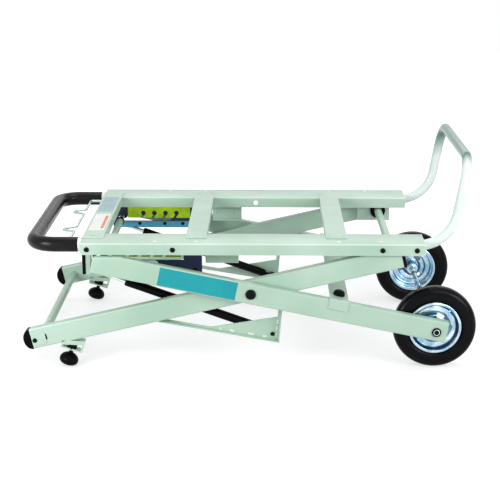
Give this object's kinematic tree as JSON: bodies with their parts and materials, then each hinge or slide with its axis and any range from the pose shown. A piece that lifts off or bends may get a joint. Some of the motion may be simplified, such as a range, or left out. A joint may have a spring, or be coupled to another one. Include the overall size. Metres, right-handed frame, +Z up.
{
  "type": "table saw stand",
  "caption": "Folding wheeled table saw stand, folded low: twin rails on scissor legs with gas springs, foam grip and two wheels.",
  "frame": {"origin": "centre of the stand's length and width, on the floor", "axes": "+X to the wheel end, +Y to the far side, +Z up"},
  "size_m": [1.0826, 0.6156, 0.5123],
  "materials": {
    "pale_enamel": "satin pale grey-green enamel",
    "bare_tube": "satin clear-coated tube",
    "black_foam": "matt foam",
    "black_rubber": "matt rubber",
    "black_tyre": "smooth tyre rubber",
    "black_plastic": "moulded, fine grain",
    "black_steel": "black coated steel",
    "zinc_plate": "bright plated",
    "bright_wire": "plated wire",
    "gold_zinc": "yellow zinc plating",
    "navy_enamel": "dark blue enamel"
  },
  "bodies": {
    "outer_frame": {"outer_leg_near": "pale_enamel", "outer_leg_far": "pale_enamel", "slide_bush_near": "black_plastic", "slide_bush_far": "black_plastic", "strap_bumper_near": "black_rubber", "strap_bumper_far": "black_rubber", "pivot_pin_near": "black_steel", "pivot_pin_far": "black_steel", "axle_nut_near": "black_steel", "axle_nut_far": "black_steel", "slide_rod": "pale_enamel", "leg_strap": "pale_enamel", "axle": "zinc_plate"},
    "inner_frame": {"inner_leg_near": "pale_enamel", "inner_leg_far": "pale_enamel", "foot_cap_near": "black_plastic", "foot_cap_far": "black_plastic", "top_cap_near": "black_plastic", "top_cap_far": "black_plastic", "foot_bracket_near": "pale_enamel", "foot_bracket_far": "pale_enamel", "foot_pad_near": "black_rubber", "foot_pad_far": "black_rubber", "gusset_near": "pale_enamel", "gusset_far": "pale_enamel", "spring_pin_near": "black_steel", "spring_pin_far": "black_steel", "table_shaft": "pale_enamel", "foot_cross_tube": "pale_enamel"},
    "table_frame": {"slide_guide_near": "navy_enamel", "slide_guide_far": "navy_enamel", "lock_plate_near": "gold_zinc", "lock_plate_far": "gold_zinc", "stay_bracket_near": "pale_enamel", "stay_bracket_far": "pale_enamel", "shaft_bracket_near": "pale_enamel", "shaft_bracket_far": "pale_enamel", "shaft_bush_near": "black_plastic", "shaft_bush_far": "black_plastic", "spring_anchor_near": "pale_enamel", "spring_anchor_far": "pale_enamel", "near_rail": "pale_enamel", "far_rail": "pale_enamel", "end_plate": "pale_enamel", "cross_plate_left": "pale_enamel", "cross_plate_right": "pale_enamel", "foot_end_handle": "bare_tube", "foam_grip": "black_foam", "wheel_end_handle": "bare_tube"},
    "release_bail": {"release_lever": "bright_wire"},
    "near_wheel": {"tyre_near": "black_tyre", "rim_near": "zinc_plate", "hub_near": "zinc_plate"},
    "far_wheel": {"tyre_far": "black_tyre", "rim_far": "zinc_plate", "hub_far": "zinc_plate"},
    "near_spring_body": {"gas_cylinder_near": "black_steel"},
    "far_spring_body": {"gas_cylinder_far": "black_steel"},
    "near_spring_rod": {"gas_rod_near": "zinc_plate"},
    "far_spring_rod": {"gas_rod_far": "zinc_plate"}
  },
  "joints": [
    {"name": "fold", "type": "hinge", "parent": "outer_frame", "child": "inner_frame", "pos_m": [0.00371, 0, 0.1915], "axis": [0, -1, 0], "range_deg": [0, 50]},
    {"name": "table_tilt", "type": "hinge", "parent": "inner_frame", "child": "table_frame", "pos_m": [0.34071, 0, 0.269], "axis": [0, -1, 0], "range_deg": [-26.2, 0.1]},
    {"name": "near_spring_swing", "type": "hinge", "parent": "inner_frame", "child": "near_spring_body", "pos_m": [0.05571, -0.2345, 0.077], "axis": [0, -1, 0], "range_deg": [-32.7, 0.1]},
    {"name": "near_spring_stroke", "type": "slide", "parent": "near_spring_body", "child": "near_spring_rod", "axis": [-0.9412, 0, 0.3378], "range_m": [-0.0005, 0.1426]},
    {"name": "far_spring_swing", "type": "hinge", "parent": "inner_frame", "child": "far_spring_body", "pos_m": [0.05571, 0.2345, 0.077], "axis": [0, -1, 0], "range_deg": [-32.7, 0.1]},
    {"name": "far_spring_stroke", "type": "slide", "parent": "far_spring_body", "child": "far_spring_rod", "axis": [-0.9412, 0, 0.3378], "range_m": [-0.0005, 0.1426]},
    {"name": "near_wheel_spin", "type": "hinge", "parent": "outer_frame", "child": "near_wheel", "pos_m": [0.44171, -0.2515, 0.1], "axis": [0, 1, 0], "continuous": true},
    {"name": "far_wheel_spin", "type": "hinge", "parent": "outer_frame", "child": "far_wheel", "pos_m": [0.44171, 0.2515, 0.1], "axis": [0, 1, 0], "continuous": true},
    {"name": "release_lift", "type": "hinge", "parent": "table_frame", "child": "release_bail", "pos_m": [-0.38429, 0, 0.2935], "axis": [0, 1, 0], "range_deg": [0, 24]}
  ],
  "couplings": [
    {"joint": "table_tilt", "follows": "fold", "ratio": -0.5212},
    {"joint": "near_spring_swing", "follows": "fold", "ratio": -0.65193},
    {"joint": "near_spring_stroke", "follows": "fold", "m_per_rad": 0.16306},
    {"joint": "far_spring_swing", "follows": "fold", "ratio": -0.65193},
    {"joint": "far_spring_stroke", "follows": "fold", "m_per_rad": 0.16306}
  ]
}
